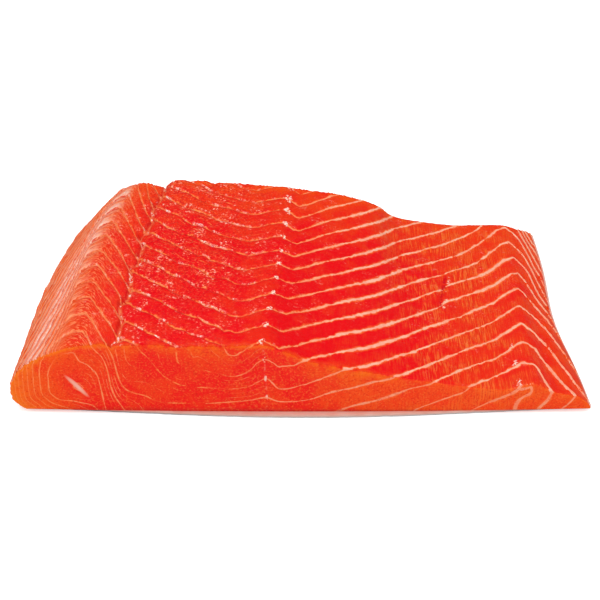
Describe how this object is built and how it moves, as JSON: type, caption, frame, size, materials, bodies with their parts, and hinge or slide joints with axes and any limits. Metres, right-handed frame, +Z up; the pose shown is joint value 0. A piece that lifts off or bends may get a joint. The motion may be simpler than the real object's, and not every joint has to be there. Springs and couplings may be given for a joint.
{
  "type": "raw salmon fillet",
  "caption": "Block of raw salmon side cut crosswise, lying on its skin, with folded pale walls between red-orange flakes, a thick back and a thin belly edge",
  "frame": {"origin": "on the surface that the skin rests on, under the middle of the piece's bounding box", "axes": "+X across the fish, from the thick back to the thin belly edge; +Y along the fish, from the front cut to the rear cut; +Z up, from the skin to the bone side"},
  "size_m": [0.1792, 0.1034, 0.0268],
  "materials": {
    "flesh": "glossy",
    "skin": "satin"
  },
  "bodies": {
    "root": {"flesh": "flesh", "skin": "skin"}
  },
  "joints": []
}
